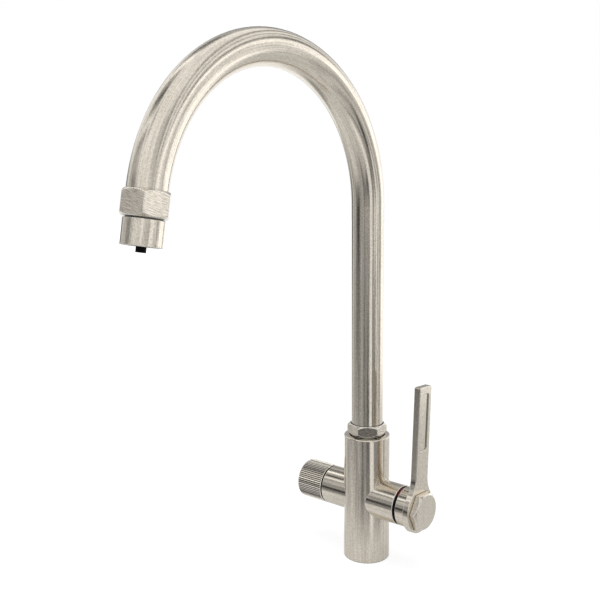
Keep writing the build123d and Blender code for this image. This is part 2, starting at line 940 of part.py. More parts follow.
def lever_outline():
    """Outline of ring and tapered bar, with hollow necks where they meet."""
    ring_back = (-lever_ring_diameter / 2, 0)
    tip = lever_tip_width / 2
    upper = neck_points(lever_root_width / 2)
    lower = [Vector(p.X, -p.Y) for p in upper]
    outline = [
        ThreePointArc(upper[0], ring_back, lower[0]),
        ThreePointArc(*lower),
        Line(lower[2], (lever_length, -tip)),
        Line((lever_length, -tip), (lever_length, tip)),
        Line((lever_length, tip), upper[2]),
        ThreePointArc(upper[2], upper[1], upper[0]),
    ]
    face = make_face(outline)
    return fillet(face.vertices().group_by(Axis.X)[-1], lever_tip_round)


def make_lever():
    near_tip = lever_end - lever_tip_thickness
    depth = lever_end - min(hub_end, near_tip)
    plate = Pos(0, 0, lever_end - depth) * extrude(lever_outline(), depth)
    ring_radius = lever_ring_diameter / 2
    profile = Polygon(
        (-ring_radius, hub_end),
        (ring_radius, hub_end),
        (lever_length, near_tip),
        (lever_length, lever_end),
        (-ring_radius, lever_end),
        align=None,
    )
    width = lever_ring_diameter + 2 * overrun
    slab = extrude(Plane.XZ * profile, width / 2, both=True)
    solid = plate & slab
    outer_edges = solid.faces().sort_by(Axis.Z)[-1].outer_wire().edges()
    solid = fillet(outer_edges, lever_edge)
    back = solid.faces().filter_by(Axis.Z).sort_by(Axis.Z)[0]
    ring_edge = back.edges().filter_by(GeomType.CIRCLE).sort_by(SortBy.LENGTH)[-1]
    solid = chamfer(ring_edge, lever_back_edge)
    recess_end = lever_length - recess_end_margin
    recess = RectangleRounded(recess_end - recess_start, recess_width, recess_corner)
    recess = extrude(recess, recess_depth + overrun)
    recess = Pos((recess_start + recess_end) / 2, 0, lever_end - recess_depth) * recess
    solid = solid - recess
    solid = chamfer(solid.faces().sort_by(Axis.Z)[-1].inner_wires()[0].edges(), recess_edge)
    bore = rod(hub_spigot_diameter / 2 + press_gap, hub_end - overrun, lever_end + overrun)
    bore = bore - flat_side(
        hub_spigot_flat + press_gap, hub_end - overrun, lever_end + overrun, hub_spigot_diameter
    )
    return Rot(0, 0, lever_tilt) * (solid - bore)


def make_hex_cap():
    cap = hexagon(
        cap_across_flats, lever_end, cap_end, cap_inner_inset, hex_chamfer_inset, cap_corner_angle
    )
    bore = rod(hub_spigot_diameter / 2 + thread_gap, lever_end, lever_end + cap_bore_depth)
    return Rot(0, 0, lever_tilt) * (cap - bore)


def make_lever_screw():
    head = rod(lever_screw_head / 2, screw_seat, screw_seat + lever_screw_head_height)
    shank = rod(lever_screw_shank / 2, screw_tip(), screw_seat)
    socket_low = screw_seat + lever_screw_head_height - lever_screw_socket_depth
    socket = RegularPolygon(lever_screw_socket / 2, 6, major_radius=False)
    socket = Pos(0, 0, socket_low) * extrude(socket, lever_screw_socket_depth)
    return head + shank - socket


# Filter valve
def make_filter_seat_seal():
    return sleeve(
        filter_seat_seal_diameter / 2, filter_seat_bore / 2, filter_floor, filter_disc_start
    )


def filter_disc_hole(low, high):
    return rod(filter_hole_diameter / 2, low, high, filter_hole_offset)


def make_filter_fixed_disc():
    high = filter_disc_start + filter_disc_thickness
    disc = rod(filter_disc_diameter / 2, filter_disc_start, high)
    return disc - filter_disc_hole(filter_disc_start, high)


def make_filter_moving_disc():
    radius = filter_disc_diameter / 2 - filter_disc_inset
    disc = rod(radius, filter_moving_start, filter_flange_start)
    notch = filter_disc_hole(filter_moving_start, filter_flange_start)
    return disc - Rot(0, 0, 90) * notch


def make_filter_valve_body():
    cavity = filter_disc_diameter / 2 + running_gap
    skirt = filter_skirt_diameter / 2
    thread = filter_pocket_diameter / 2 - thread_gap
    stem = filter_stem_diameter / 2 + running_gap
    neck = filter_neck_diameter / 2
    solid = turned(
        (cavity, filter_disc_start),
        (skirt, filter_disc_start),
        (skirt, filter_body_start),
        (thread, filter_body_start),
        (thread, filter_reach),
        (stem, filter_reach),
        (stem, filter_cavity_end),
        (cavity, filter_cavity_end),
    )
    head = hexagon(filter_head_hex, filter_reach, filter_head_end, 0, hex_chamfer_inset, 0)
    head = head - rod(stem, filter_reach, filter_head_end)
    solid = solid + head + sleeve(neck, stem, filter_head_end, filter_neck_end)
    middle = (filter_window_start + filter_window_end) / 2
    window = Pos(0, 0, middle) * Box(
        2 * filter_skirt_diameter, filter_window_width, filter_window_end - filter_window_start
    )
    groove = seal_groove(filter_pocket_diameter / 2, filter_ring_thickness, filter_ring_place)
    return solid - [window, groove]


def make_filter_valve_o_ring():
    return seal_ring(filter_pocket_diameter / 2, filter_ring_thickness, filter_ring_place)


def make_filter_spindle():
    flange = filter_disc_diameter / 2 - filter_disc_inset
    stem = filter_stem_diameter / 2
    flange_end = filter_cavity_end - filter_end_play
    solid = rod(flange, filter_flange_start, flange_end) + rod(stem, flange_end, filter_stem_end)
    clip_end = circlip_start + circlip_thickness
    clip_groove = sleeve(
        stem + overrun, circlip_root_diameter / 2 - press_gap, circlip_start, clip_end
    )
    flat = flat_side(filter_stem_flat, insert_near, filter_stem_end, stem)
    ring_groove = seal_groove(
        stem + running_gap, filter_stem_ring_thickness, filter_stem_ring_place
    )
    return solid - [clip_groove, flat, ring_groove]


def make_filter_spindle_o_ring():
    bore = filter_stem_diameter / 2 + running_gap
    return seal_ring(bore, filter_stem_ring_thickness, filter_stem_ring_place)


def make_spindle_circlip():
    clip_end = circlip_start + circlip_thickness
    ring = sleeve(circlip_diameter / 2, circlip_root_diameter / 2, circlip_start, clip_end)
    return ring - wedge(circlip_diameter, circlip_opening, circlip_start, clip_end)


# Knob
def make_knob_slip_ring():
    return sleeve(
        knob_slip_diameter / 2,
        knob_slip_bore / 2,
        filter_reach,
        filter_reach + knob_slip_thickness,
    )


def grub_hole(radius, inner, outer):
    """Radial bar below the knob's axis."""
    return Pos(0, 0, grub_screw_place) * Rot(0, -90, 0) * rod(radius, inner, outer)


def make_knob():
    radius = knob_diameter / 2
    solid = rod(radius, knob_start, knob_end)
    solid = fillet(solid.edges().sort_by(Axis.Z)[-1], knob_far_round)
    solid = chamfer(solid.edges().sort_by(Axis.Z)[0], knob_near_edge)
    cavity = rod(knob_cavity_diameter / 2, knob_start - overrun, knob_cavity_end)
    seat = rod(knob_insert_diameter / 2, knob_start, insert_far + knob_insert_room)
    screw = grub_hole(grub_screw_diameter / 2 + thread_gap, 0, radius + overrun)
    return solid - [cavity, seat, screw]


def make_knob_insert():
    outer = knob_insert_diameter / 2 - press_gap
    bush = rod(outer, insert_near, insert_far)
    bore = rod(filter_stem_diameter / 2 + press_gap, insert_near, insert_far)
    bore = bore - flat_side(
        filter_stem_flat + press_gap, insert_near, insert_far, filter_stem_diameter
    )
    screw = grub_hole(grub_screw_diameter / 2 + 2 * thread_gap, 0, outer + overrun)
    return bush - [bore, screw]


def make_knob_grub_screw():
    tip = filter_stem_flat + press_gap
    end = tip + grub_screw_length
    screw = grub_hole(grub_screw_diameter / 2, tip, end)
    socket = extrude(RegularPolygon(grub_socket / 2, 6, major_radius=False), grub_socket_depth)
    socket = Pos(0, 0, grub_screw_place) * Rot(0, -90, 0) * Pos(0, 0, end - grub_socket_depth) * socket
    return screw - socket


def build():
    """Every piece of the tap, by node name."""
    mixer_side = {
        "cartridge_seal": make_cartridge_seal(),
        "cartridge_base": make_cartridge_base(),
        "mixer_fixed_disc": make_mixer_fixed_disc(),
        "cartridge_housing": make_cartridge_housing(),
        "cartridge_o_ring": make_cartridge_o_ring(),
        "cartridge_nut": make_cartridge_nut(),
        "indicator_ring": make_indicator_ring(),
        "hot_mark": make_mark(hot_mark_angle),
        "cold_mark": make_mark(cold_mark_angle),
        "mixer_moving_disc": make_mixer_moving_disc(),
        "mixer_spindle": make_mixer_spindle(),
        "spindle_o_ring": make_spindle_o_ring(),
        "lever_hub": make_lever_hub(),
        "lever": make_lever(),
        "hex_cap": make_hex_cap(),
        "lever_screw": make_lever_screw(),
    }
    filter_side = {
        "filter_seat_seal": make_filter_seat_seal(),
        "filter_fixed_disc": make_filter_fixed_disc(),
        "filter_valve_body": make_filter_valve_body(),
        "filter_valve_o_ring": make_filter_valve_o_ring(),
        "knob_slip_ring": make_knob_slip_ring(),
        "filter_moving_disc": make_filter_moving_disc(),
        "filter_spindle": make_filter_spindle(),
        "filter_spindle_o_ring": make_filter_spindle_o_ring(),
        "spindle_circlip": make_spindle_circlip(),
        "knob": make_knob(),
        "knob_insert": make_knob_insert(),
        "knob_grub_screw": make_knob_grub_screw(),
    }
    outlet_side = {
        "outlet_adapter": make_outlet_adapter(),
        "outlet_nut": make_outlet_nut(),
        "outlet_washer": make_outlet_washer(),
        "aerator_housing": make_aerator_housing(),
        "aerator_screen": make_aerator_screen(),
        "aerator_insert": make_aerator_insert(),
        "nozzle_stem": make_nozzle_stem(),
        "filter_nozzle": make_filter_nozzle(),
    }
    pieces = {
        "body": make_body(),
        "base_seal": make_base_seal(),
        "collar_nut": make_collar_nut(),
        "upper_slip_ring": make_upper_slip_ring(),
        "lower_slip_ring": make_lower_slip_ring(),
        "tube_connector": make_tube_connector(),
        "swivel_o_ring": make_swivel_o_ring(),
        "spout_tube": make_spout_tube(),
        "spout_spigot": make_spout_spigot(),
        "spout_o_rings": make_spout_o_rings(),
        "filter_tube": make_filter_tube(),
        "tube_swivel": make_tube_swivel(),
    }
    pieces.update({name: MIXER * piece for name, piece in mixer_side.items()})
    pieces.update({name: FILTER * piece for name, piece in filter_side.items()})
    pieces.update({name: OUTLET * piece for name, piece in outlet_side.items()})
    return pieces


os.makedirs("parts", exist_ok=True)
for name, piece in build().items():
    export_step(piece, f"parts/{name}.step")
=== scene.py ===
import math

import bmesh
import bpy
from mathutils import Matrix, Vector


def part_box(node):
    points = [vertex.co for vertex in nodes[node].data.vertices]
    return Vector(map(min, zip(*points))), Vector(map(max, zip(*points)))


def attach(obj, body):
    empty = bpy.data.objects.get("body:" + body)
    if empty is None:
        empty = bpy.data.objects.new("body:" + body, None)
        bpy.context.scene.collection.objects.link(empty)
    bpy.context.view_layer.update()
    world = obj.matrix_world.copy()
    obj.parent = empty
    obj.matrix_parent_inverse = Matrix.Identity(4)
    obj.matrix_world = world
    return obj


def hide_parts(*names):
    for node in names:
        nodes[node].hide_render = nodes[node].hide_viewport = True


# Camera at the photograph's viewing angle, worked out for a 600 x 600 picture
CAMERA_PLACE = (0.4438, -0.6105, 0.3653)
CAMERA_AZIMUTH = 40.479
CAMERA_ELEVATION = 9.767
CAMERA_ROLL = -0.524
FOCAL_PIXELS = 878.1
PICTURE_PIXELS = 600
SENSOR_WIDTH = 36.0

# Sizes shared with the CAD source, in metres
BEND_START = 0.3169
BEND_RADIUS = 0.1215
BODY_RADIUS = 0.02045
KNOB_CAVITY_RADIUS = 0.0132
KNOB_CAVITY_END = 0.0486
KNOB_SEAT_RADIUS = 0.007
KNOB_SEAT_END = 0.059
GRUB_HOLE_PLACE = 0.054
GRUB_HOLE_RADIUS = 0.00205

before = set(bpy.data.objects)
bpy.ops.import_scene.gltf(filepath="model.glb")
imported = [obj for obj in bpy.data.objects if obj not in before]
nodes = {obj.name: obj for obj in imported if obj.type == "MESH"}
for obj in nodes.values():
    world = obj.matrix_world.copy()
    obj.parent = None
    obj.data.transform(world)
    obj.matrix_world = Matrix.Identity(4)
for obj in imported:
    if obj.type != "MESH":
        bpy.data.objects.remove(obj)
bpy.context.view_layer.update()


class Graph:
    """Short way to write a material's node graph."""

    def __init__(self, tree):
        self.tree = tree
        tree.nodes.clear()

    def add(self, kind, **settings):
        node = self.tree.nodes.new(kind)
        for name, value in settings.items():
            setattr(node, name, value)
        return node

    def feed(self, socket, value):
        if isinstance(value, bpy.types.NodeSocket):
            self.tree.links.new(value, socket)
        else:
            socket.default_value = value

    def math(self, operation, *values):
        node = self.add("ShaderNodeMath", operation=operation)
        for socket, value in zip(node.inputs, values):
            self.feed(socket, value)
        return node.outputs[0]

    def opposite(self, share):
        """1 less the share."""
        return self.math("SUBTRACT", 1.0, share)

    def weigh(self, a, share_a, b, share_b):
        """Sum of two values, each times its share."""
        return self.math("ADD", self.math("MULTIPLY", a, share_a), self.math("MULTIPLY", b, share_b))

    def distance(self, a, b):
        """How far the point a, b is from zero."""
        return self.math("SQRT", self.weigh(a, a, b, b))

    def vector(self, x, y, z):
        node = self.add("ShaderNodeCombineXYZ")
        for socket, value in zip(node.inputs, (x, y, z)):
            self.feed(socket, value)
        return node.outputs[0]

    def place(self):
        """Object coordinates as three sockets."""
        coordinates = self.add("ShaderNodeTexCoord")
        split = self.add("ShaderNodeSeparateXYZ")
        self.feed(split.inputs[0], coordinates.outputs["Object"])
        return split.outputs[:]

    def noise(self, vector, scale=1.0, detail=3.0, roughness=0.5):
        node = self.add("ShaderNodeTexNoise")
        self.feed(node.inputs["Vector"], vector)
        node.inputs["Scale"].default_value = scale
        node.inputs["Detail"].default_value = detail
        node.inputs["Roughness"].default_value = roughness
        return node.outputs["Fac"]

    def spread(self, value, low, high, to_low=0.0, to_high=1.0):
        """Maps low..high to to_low..to_high."""
        node = self.add("ShaderNodeMapRange")
        for socket, number in zip(node.inputs, (value, low, high, to_low, to_high)):
            self.feed(socket, number)
        return node.outputs[0]

    def mix(self, factor, a, b):
        node = self.add("ShaderNodeMix", data_type="RGBA")
        self.feed(node.inputs["Factor"], factor)
        self.feed(node.inputs[6], a)
        self.feed(node.inputs[7], b)
        return node.outputs[2]

    def bump(self, height, strength, distance, normal=None):
        node = self.add("ShaderNodeBump")
        node.inputs["Strength"].default_value = strength
        node.inputs["Distance"].default_value = distance
        self.feed(node.inputs["Height"], height)
        if normal:
            self.feed(node.inputs["Normal"], normal)
        return node.outputs["Normal"]

    def painted_gap_shade(self, reach):
        """Mask for painted shade, from ambient occlusion: 1 in the open and 0 deep in a gap or groove as
        narrow as the reach.
        """
        node = self.add("ShaderNodeAmbientOcclusion", samples=GAP_SHADE_SAMPLES)
        node.inputs["Distance"].default_value = reach
        return self.spread(node.outputs["AO"], *GAP_SHADE_RANGE)

    def rounded_edge_and_highlight_mask(self, radius):
        """Normal with the sharp edges softened, and how far that turns it: 1 on an edge, which is the mask
        for the painted edge highlight.
        """
        soft = self.add("ShaderNodeBevel", samples=EDGE_SAMPLES)
        soft.inputs["Radius"].default_value = radius
        geometry = self.add("ShaderNodeNewGeometry")
        turned = self.add("ShaderNodeVectorMath", operation="DOT_PRODUCT")
        self.feed(turned.inputs[0], soft.outputs[0])
        self.feed(turned.inputs[1], geometry.outputs["Normal"])
        return soft.outputs[0], self.spread(turned.outputs["Value"], *EDGE_TURN)


def new_material(name):
    material = bpy.data.materials.new(name)
    material.use_nodes = True
    graph = Graph(material.node_tree)
    shader = graph.add("ShaderNodeBsdfPrincipled")
    output = graph.add("ShaderNodeOutputMaterial")
    graph.feed(output.inputs["Surface"], shader.outputs[0])
    return material, graph, shader


def swan_neck(graph):
    """Coordinates that follow the spout, two across it and one along it, and its direction there."""
    x, y, z = graph.place()
    up = graph.math("MAXIMUM", graph.math("SUBTRACT", z, BEND_START), 0.0)
    out = graph.math("ADD", y, BEND_RADIUS)
    across = graph.math("SUBTRACT", graph.distance(up, out), BEND_RADIUS)
    bend_length = graph.math("MULTIPLY", graph.math("ARCTAN2", up, out), BEND_RADIUS)
    along = graph.math("ADD", graph.math("MINIMUM", z, BEND_START), bend_length)
    direction = graph.vector(0.0, graph.math("MULTIPLY", up, -1.0), out)
    return x, across, along, direction


def straight(axis):
    """Coordinates for a piece that runs straight along one axis, and that direction."""

    def coordinates(graph):
        x, y, z = graph.place()
        if axis == "x":
            return y, z, x, (1.0, 0.0, 0.0)
        return x, y, z, (0.0, 0.0, 1.0)

    return coordinates


def slanted(graph):
    """Coordinates for the nuts, whose flats are scratched a little off the level."""
    x, y, z = graph.place()
    level = graph.math("ADD", x, y)
    height = graph.math("ADD", z, graph.math("MULTIPLY", level, SCRATCH_SLANT))
    return height, 0.0, level, (0.0, 0.0, 1.0)


def body_cross(graph):
    """Coordinates that run up the body, and along its branches where they stand out of it."""
    x, y, z = graph.place()
    on_branch = graph.math("GREATER_THAN", graph.distance(x, y), BODY_RADIUS + BODY_SKIN)
    on_column = graph.opposite(on_branch)
    across = graph.weigh(x, on_column, z, on_branch)
    along = graph.weigh(z, on_column, x, on_branch)
    return across, y, along, graph.vector(on_branch, 0.0, on_column)


# Materials
NOISE_RANGE = (0.3, 0.7)  # most of what a noise texture gives lies between these
GRAIN_SCALE = 900.0
PLAIN_SHADES = (0.85, 1.12)  # darkest and lightest tone, as shares of the colour
PLAIN_ROUGHNESS = (0.85, 1.15)  # smoothest and roughest spots, as shares of the roughness
PLAIN_BUMP = (0.1, 0.0002)  # strength and distance

# Brushed nickel
NICKEL = (0.70, 0.645, 0.56)
NICKEL_SHADES = (0.72, 1.27)
NICKEL_ROUGHNESS = (0.8, 1.25)
NICKEL_BUMP = (0.06, 0.0003)
ACROSS_SCALE = 1600.0
ALONG_SCALE = 26.0
SOFT_EDGE = 0.0007
EDGE_SAMPLES = 6
EDGE_TURN = (0.998, 0.97)  # cosine of the softened normal's turn, where an edge begins and on it
# Painted highlight: edges get a near white, less metallic colour so they read bright from any side
PAINTED_EDGE_HIGHLIGHT_COLOUR = (0.95, 0.92, 0.86, 1.0)
EDGE_HIGHLIGHT_METALLIC = 0.35
# Painted shade: the colour goes near black in gaps and grooves between parts, where shade falls
GAP_SHADE_REACH = 0.002
GAP_SHADE_SAMPLES = 6
GAP_SHADE_RANGE = (0.25, 0.78)
PAINTED_GAP_SHADE_COLOUR = (0.02, 0.018, 0.015, 1.0)
# Painted shade in the knurl's grooves and painted highlight on its ridges, laid in by distance from the
# axis
PAINTED_GROOVE_SHADE_COLOUR = (0.05, 0.044, 0.036, 1.0)
PAINTED_RIDGE_HIGHLIGHT_COLOUR = (1.0, 0.94, 0.84, 1.0)
KNURL_METALLIC = 0.75
NUT_EDGE = 0.001
NUT_ALONG_SCALE = 150.0
BODY_SKIN = 0.0001  # what stands out of the body's wall by more than this is brushed as a branch
SCRATCH_SLANT = 0.3


def shades(colour, shares):
    """The colour times each of the shares, with full alpha."""
    return [tuple(min(1.0, c * share) for c in colour) + (1.0,) for share in shares]


def grainy_roughness(graph, noise, roughness, shares):
    low, high = (roughness * share for share in shares)
    return graph.spread(noise, *NOISE_RANGE, low, high)


def nickel(
    name,
    coordinates,
    roughness=0.15,
    anisotropy=0.93,
    streak=0.8,
    mottle=0.65,
    along=ALONG_SCALE,
    edge=SOFT_EDGE,
    groove=None,
):
    """Brushed nickel: lines along the piece, mottling between them, painted highlights on edges and painted
    shade in gaps.

    Where a groove function is given, it says where painted shade in grooves and painted highlight on ridges
    go, in place of the edges.
    """
    material, graph, shader = new_material(name)
    u, v, w, direction = coordinates(graph)
    lines = graph.noise(
        graph.vector(
            graph.math("MULTIPLY", u, ACROSS_SCALE),
            graph.math("MULTIPLY", v, ACROSS_SCALE),
            graph.math("MULTIPLY", w, along),
        ),
        detail=5.0,
        roughness=0.6,
    )
    grain = graph.noise(graph.vector(u, v, w), scale=GRAIN_SCALE, detail=2.0, roughness=0.7)
    tone = graph.weigh(
        graph.spread(lines, *NOISE_RANGE, -0.5, 0.5),
        streak,
        graph.spread(grain, *NOISE_RANGE, -0.5, 0.5),
        mottle,
    )
    colour = graph.mix(graph.math("ADD", tone, 0.5), *shades(NICKEL, NICKEL_SHADES))
    if groove:
        painted_light_share, plain_end = groove(graph)
        # Painted shade at the bottom of the knurl's grooves and painted highlight on their tops
        colour = graph.mix(plain_end, graph.mix(painted_light_share, PAINTED_GROOVE_SHADE_COLOUR, PAINTED_RIDGE_HIGHLIGHT_COLOUR), colour)
        normal = None
        shader.inputs["Metallic"].default_value = KNURL_METALLIC
    else:
        # Painted highlight on edges: the softened normal is real shading, while the lighter and less
        # metallic colour there is painted light
        normal, painted_light_share = graph.rounded_edge_and_highlight_mask(edge)
        colour = graph.mix(painted_light_share, colour, PAINTED_EDGE_HIGHLIGHT_COLOUR)
        graph.feed(shader.inputs["Metallic"], graph.spread(painted_light_share, 0.0, 1.0, 1.0, EDGE_HIGHLIGHT_METALLIC))
    # Painted shade: the colour is darkened in gaps and grooves
    colour = graph.mix(graph.painted_gap_shade(GAP_SHADE_REACH), PAINTED_GAP_SHADE_COLOUR, colour)
    graph.feed(shader.inputs["Base Color"], colour)
    shader.inputs["Anisotropic"].default_value = anisotropy
    if anisotropy:
        turned = graph.add(
            "ShaderNodeVectorTransform", vector_type="VECTOR", convert_from="OBJECT", convert_to="WORLD"
        )
        graph.feed(turned.inputs[0], direction)
        graph.feed(shader.inputs["Tangent"], turned.outputs[0])
    graph.feed(shader.inputs["Roughness"], grainy_roughness(graph, lines, roughness, NICKEL_ROUGHNESS))
    graph.feed(shader.inputs["Normal"], graph.bump(tone, *NICKEL_BUMP, normal))
    return material


def plain(name, colour, roughness, metallic=0.0, specular=0.5):
    """Any other material: one colour with a fine grain."""
    material, graph, shader = new_material(name)
    grain = graph.noise(graph.vector(*graph.place()), scale=GRAIN_SCALE)
    graph.feed(shader.inputs["Base Color"], graph.mix(grain, *shades(colour, PLAIN_SHADES)))
    graph.feed(shader.inputs["Roughness"], grainy_roughness(graph, grain, roughness, PLAIN_ROUGHNESS))
    shader.inputs["Metallic"].default_value = metallic
    shader.inputs["Specular IOR Level"].default_value = specular
    graph.feed(shader.inputs["Normal"], graph.bump(grain, *PLAIN_BUMP))
    return material


tube_nickel = nickel("nickel_spout", swan_neck, roughness=0.125)
body_nickel = nickel("nickel_body", body_cross, roughness=0.12)
cross_nickel = nickel("nickel_cross", straight("x"), roughness=0.1)
flat_nickel = nickel(
    "nickel_flats", straight("z"), roughness=0.17, anisotropy=0.0, streak=0.35, mottle=0.7
)
nut_nickel = nickel(
    "nickel_nuts",
    slanted,
    anisotropy=0.0,
    streak=1.5,
    mottle=0.5,
    along=NUT_ALONG_SCALE,
    edge=NUT_EDGE,
)
barrel_nickel = nickel("nickel_barrel", straight("z"), roughness=0.12)
SLOT_MATERIALS = {
    "brushed_nickel": flat_nickel,
    "brass": plain("brass", (0.78, 0.57, 0.28), 0.3, 1.0),
    "steel": plain("steel", (0.62, 0.61, 0.60), 0.3, 1.0),
    "ceramic": plain("ceramic", (0.86, 0.85, 0.82), 0.25),
    "rubber": plain("rubber", (0.02, 0.02, 0.02), 0.7),
    "white_plastic": plain("white_plastic", (0.8, 0.8, 0.78), 0.45),
    "black_plastic": plain("black_plastic", (0.003, 0.003, 0.003), 0.5, specular=0.1),
    "red_mark": plain("red_mark", (0.07, 0.004, 0.006), 0.4, specular=0.2),
    "blue_mark": plain("blue_mark", (0.01, 0.05, 0.35), 0.4),
}
NODE_MATERIALS = {
    "body": body_nickel,
    "spout_tube": tube_nickel,
    "aerator_housing": barrel_nickel,
    "lever_hub": cross_nickel,
    "outlet_nut": nut_nickel,
    "collar_nut": nut_nickel,
}
for name, node in nodes.items():
    for material_slot in node.material_slots:
        base = material_slot.material.name.split(".")[0]
        material_slot.material = NODE_MATERIALS.get(name, SLOT_MATERIALS[base])

# Knurled knob, in place of the plain one: straight fine grooves along it
KNURL_COUNT = 60
KNURL_DEPTH = 0.0008
KNURL_SHAPE = (0.0, 0.5, 1.0, 0.5)  # share of the depth at each step across one groove
KNURL_RUN_IN = 0.0005
KNURL_SHADE_TO_HIGHLIGHT = (0.9, 0.3)  # shares of the depth where the painted shade on a groove's floor ends and the painted highlight on its ridge begins
PLAIN_END = (0.9, 0.4)  # distances from the far end, in far rounds, where its plain look starts and is full
GRUB_CUT_END = 1.2  # distance from the axis, in knob radii
KNOB_FAR_ROUND = 0.0018
KNOB_NEAR_EDGE = 0.0004
ROUND_STEPS = 8
HOLE_STEPS = 24


def knob_profile(low, high, radius):
    """Radius, place and share of the knurl's depth of each ring of points, from inside to outside."""
    start = low + KNOB_NEAR_EDGE
    end = high - KNOB_FAR_ROUND
    rings = [
        (KNOB_SEAT_RADIUS, KNOB_SEAT_END, 0.0),
        (KNOB_SEAT_RADIUS, KNOB_CAVITY_END, 0.0),
        (KNOB_CAVITY_RADIUS, KNOB_CAVITY_END, 0.0),
        (KNOB_CAVITY_RADIUS, low, 0.0),
        (radius - KNOB_NEAR_EDGE, low, 0.0),
        (radius, start, 0.0),
        (radius, start + KNURL_RUN_IN, 1.0),
    ]
    for step in range(ROUND_STEPS + 1):
        turn = math.pi / 2 * step / ROUND_STEPS
        across = radius - KNOB_FAR_ROUND * (1 - math.cos(turn))
        rings.append((across, end + KNOB_FAR_ROUND * math.sin(turn), math.cos(turn)))
    return rings


def round_bar(name, radius, start, end):
    """Plain bar between two points, used only to cut a hole."""
    mesh = bmesh.new()
    length = (end - start).length
    bmesh.ops.create_cone(
        mesh, cap_ends=True, segments=HOLE_STEPS, radius1=radius, radius2=radius, depth=length
    )
    turn = (end - start).to_track_quat("Z", "Y").to_matrix().to_4x4()
    mesh.transform(Matrix.Translation((start + end) / 2) @ turn)
    data = bpy.data.meshes.new(name)
    mesh.to_mesh(data)
    mesh.free()
    return bpy.data.objects.new(name, data)


def make_knob():
    """Mesh that replaces the node knob: its profile turned round the axis, less the grub screw's hole."""
    low_corner, high_corner = (Vector(p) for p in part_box("knob"))
    radius = (high_corner.z - low_corner.z) / 2
    axis_height = (high_corner.z + low_corner.z) / 2
    mesh = bmesh.new()
    count = len(KNURL_SHAPE) * KNURL_COUNT
    rings = []
    for across, place, share in knob_profile(-high_corner.x, -low_corner.x, radius):
        ring = []
        for step in range(count):
            turn = 2 * math.pi * step / count
            r = across - share * KNURL_DEPTH * KNURL_SHAPE[step % len(KNURL_SHAPE)]
            ring.append(mesh.verts.new((-place, r * math.sin(turn), axis_height + r * math.cos(turn))))
        rings.append(ring)
    for lower, upper in zip(rings, rings[1:]):
        for step in range(count):
            after = (step + 1) % count
            mesh.faces.new((lower[step], lower[after], upper[after], upper[step]))
    mesh.faces.new(rings[0])
    mesh.faces.new(rings[-1][::-1])
    bmesh.ops.recalc_face_normals(mesh, faces=mesh.faces)
    data = bpy.data.meshes.new("knurled_knob")
    mesh.to_mesh(data)
    mesh.free()
    knob = bpy.data.objects.new("knurled_knob", data)
    bpy.context.scene.collection.objects.link(knob)
    hole = round_bar(
        "grub_hole",
        GRUB_HOLE_RADIUS,
        Vector((-GRUB_HOLE_PLACE, 0, axis_height - KNOB_SEAT_RADIUS / 2)),
        Vector((-GRUB_HOLE_PLACE, 0, axis_height - GRUB_CUT_END * radius)),
    )
    bpy.context.scene.collection.objects.link(hole)
    cut = knob.modifiers.new("grub_hole", "BOOLEAN")
    cut.operation = "DIFFERENCE"
    cut.solver = "EXACT"
    cut.object = hole
    bpy.context.view_layer.update()
    finished = bpy.data.meshes.new_from_object(knob.evaluated_get(bpy.context.evaluated_depsgraph_get()))
    knob.modifiers.clear()
    knob.data = finished
    bpy.data.objects.remove(hole)
    finished.materials.clear()
    finished.materials.append(knurl_nickel)
    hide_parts("knob")
    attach(knob, "filter_knob")


def knurl_painted_light(graph):
    """Painted shade and highlight of the knurl: 0 at the bottom of its grooves and 1 on their tops, and 1
    on the knob's plain end.
    """
    low_corner, high_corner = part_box("knob")
    radius = (high_corner[2] - low_corner[2]) / 2
    x, y, z = graph.place()
    rise = graph.math("SUBTRACT", z, (high_corner[2] + low_corner[2]) / 2)
    dark, ridge = (radius - share * KNURL_DEPTH for share in KNURL_SHADE_TO_HIGHLIGHT)
    painted_light_share = graph.spread(graph.distance(y, rise), dark, ridge)
    first, last = (low_corner[0] + share * KNOB_FAR_ROUND for share in PLAIN_END)
    return painted_light_share, graph.spread(x, first, last)


knurl_nickel = nickel(
    "nickel_knurl", straight("x"), roughness=0.2, anisotropy=0.0, streak=0.3, groove=knurl_painted_light
)
make_knob()

# The studio that the metal reflects, set from tones measured on the photograph, so that the
# light and dark bands fall where it has them. Azimuth is 0 towards the camera and grows to the camera's
# right, and angles are in degrees. A later row lies over an earlier one.
# Base brightness: elevation, brightness
STUDIO_BASE = (
    (-90, 0.75), (-30, 0.6), (-16, 0.23), (-5, 0.42), (3, 0.55), (12, 0.92), (40, 1.0), (90, 1.0),
)
